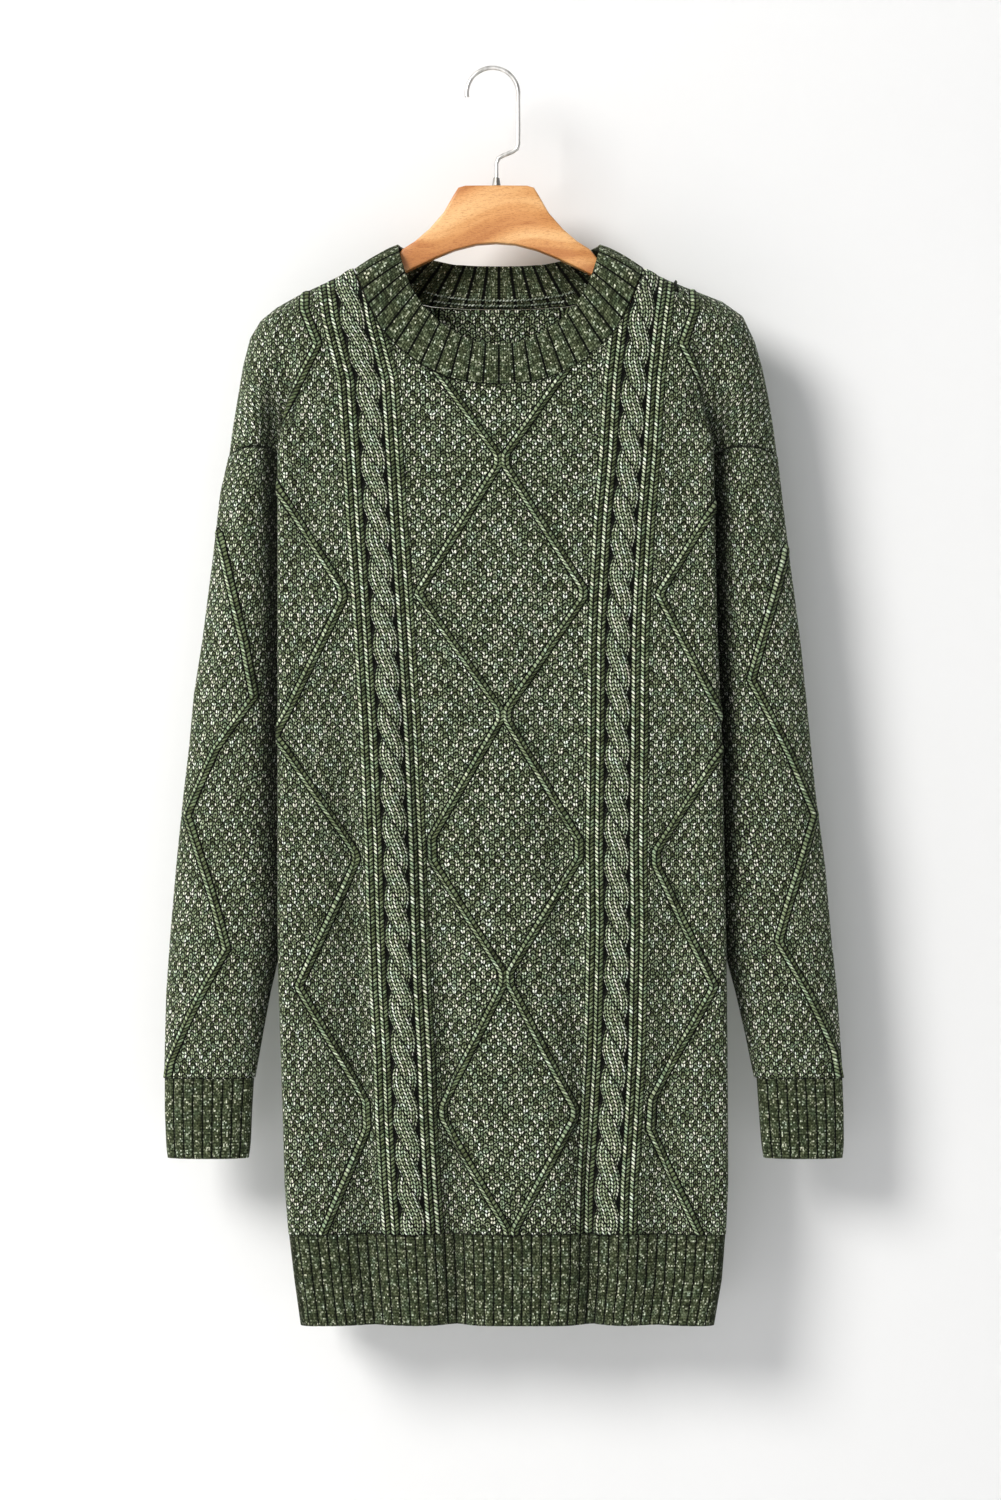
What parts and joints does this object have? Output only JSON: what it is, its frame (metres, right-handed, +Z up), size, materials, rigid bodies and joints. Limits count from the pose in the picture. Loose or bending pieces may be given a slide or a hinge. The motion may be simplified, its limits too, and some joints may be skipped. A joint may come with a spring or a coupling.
{
  "type": "sweater dress on hanger",
  "caption": "Long-sleeved cable-knit sweater dress with crew neck, ribbed cuffs and hem, hanging on a wooden hanger with a wire hook.",
  "frame": {"origin": "inside top of the hanger's hook, where a rod carries it", "axes": "+Z up, -Y is the front of the dress, +X to the right of someone who looks at the front"},
  "size_m": [0.5299, 0.063, 0.9785],
  "materials": {
    "green_knit": "matte moss-stitch and cable knit of marled dark green, mid green and off-white yarn",
    "green_rib": "matte ribbed knit of the same yarn",
    "beech": "satin lacquered beech with eased edges",
    "nickel_wire": "brushed nickel-plated wire"
  },
  "bodies": {
    "root": {"front_panel": "green_knit", "back_panel": "green_knit", "sleeve_left": "green_knit", "sleeve_right": "green_knit", "cuff_left": "green_rib", "cuff_right": "green_rib", "hem_front": "green_rib", "hem_back": "green_rib", "collar": "green_rib", "hanger_yoke": "beech", "hanger_hook": "nickel_wire", "hook_ferrule": "nickel_wire"}
  },
  "joints": []
}
